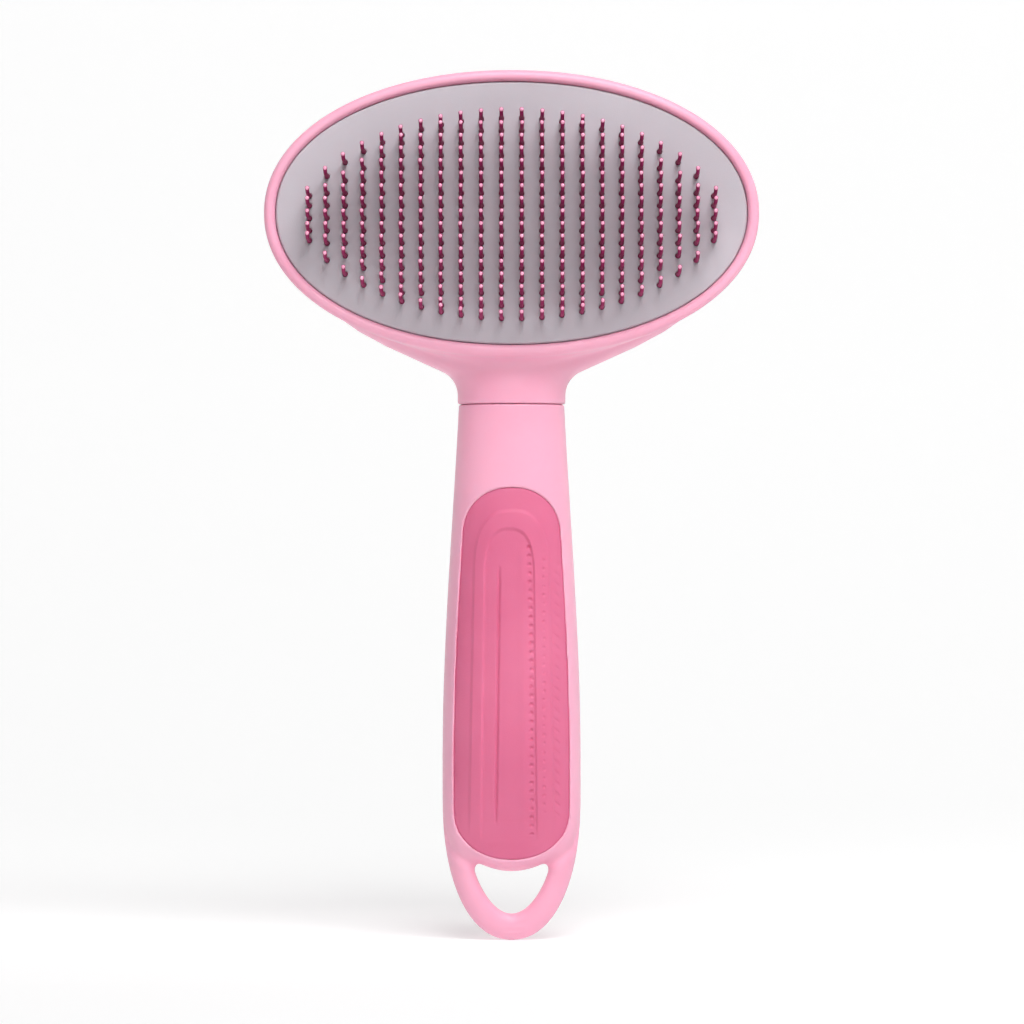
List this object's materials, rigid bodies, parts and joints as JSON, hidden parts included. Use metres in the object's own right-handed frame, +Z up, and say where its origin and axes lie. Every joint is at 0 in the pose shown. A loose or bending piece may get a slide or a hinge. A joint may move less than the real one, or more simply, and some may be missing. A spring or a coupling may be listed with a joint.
{
  "type": "self-cleaning slicker brush",
  "caption": "Oval pet slicker brush with a pin field, a sliding face plate worked by a sprung thumb button, a soft-gripped handle and a hanging loop.",
  "frame": {"origin": "middle of the hand grip, on the plane where the front and back shells meet", "axes": "+Z up the handle towards the head, +Y out of the back, where the thumb button is; the pins point along -Y"},
  "size_m": [0.113, 0.052, 0.1997],
  "materials": {
    "pink_shell": "satin light pink moulded plastic",
    "soft_grip": "matt deeper pink soft-touch rubber",
    "face_grey": "satin warm grey plastic",
    "coated_pin": "glossy raspberry coating with ball tips",
    "inner_white": "plain off-white inner moulding",
    "steel": "bright zinc-plated steel"
  },
  "bodies": {
    "brush": {"head_front_shell": "pink_shell", "head_back_cover": "pink_shell", "bristle_base_plate": "inner_white", "bristle_column_01": "coated_pin", "bristle_column_02": "coated_pin", "bristle_column_03": "coated_pin", "bristle_column_04": "coated_pin", "bristle_column_05": "coated_pin", "bristle_column_06": "coated_pin", "bristle_column_07": "coated_pin", "bristle_column_08": "coated_pin", "bristle_column_09": "coated_pin", "bristle_column_10": "coated_pin", "bristle_column_11": "coated_pin", "bristle_column_12": "coated_pin", "bristle_column_13": "coated_pin", "bristle_column_14": "coated_pin", "bristle_column_15": "coated_pin", "bristle_column_16": "coated_pin", "bristle_column_17": "coated_pin", "bristle_column_18": "coated_pin", "bristle_column_19": "coated_pin", "bristle_column_20": "coated_pin", "bristle_column_21": "coated_pin", "bristle_column_22": "coated_pin", "head_screw_1": "steel", "head_screw_2": "steel", "head_screw_3": "steel", "head_screw_4": "steel", "base_plate_screw_1": "steel", "base_plate_screw_2": "steel", "base_plate_screw_3": "steel", "base_plate_screw_4": "steel", "neck_screw": "steel", "handle_front_shell": "pink_shell", "handle_back_shell": "pink_shell", "front_grip": "soft_grip", "back_grip": "soft_grip", "handle_screw_1": "steel", "handle_screw_2": "steel", "return_spring_left": "steel", "return_spring_right": "steel"},
    "ejector": {"face_plate": "face_grey", "button_carrier": "inner_white", "thumb_button": "soft_grip", "carrier_screw_1": "steel", "carrier_screw_2": "steel", "carrier_screw_3": "steel", "carrier_screw_4": "steel"}
  },
  "joints": [
    {"name": "eject", "type": "slide", "parent": "brush", "child": "ejector", "axis": [0, -1, 0], "range_m": [0, 0.01], "stiffness_N_per_m": 300, "springref_m": -0.01, "deforming": ["return_spring_left", "return_spring_right"]}
  ]
}
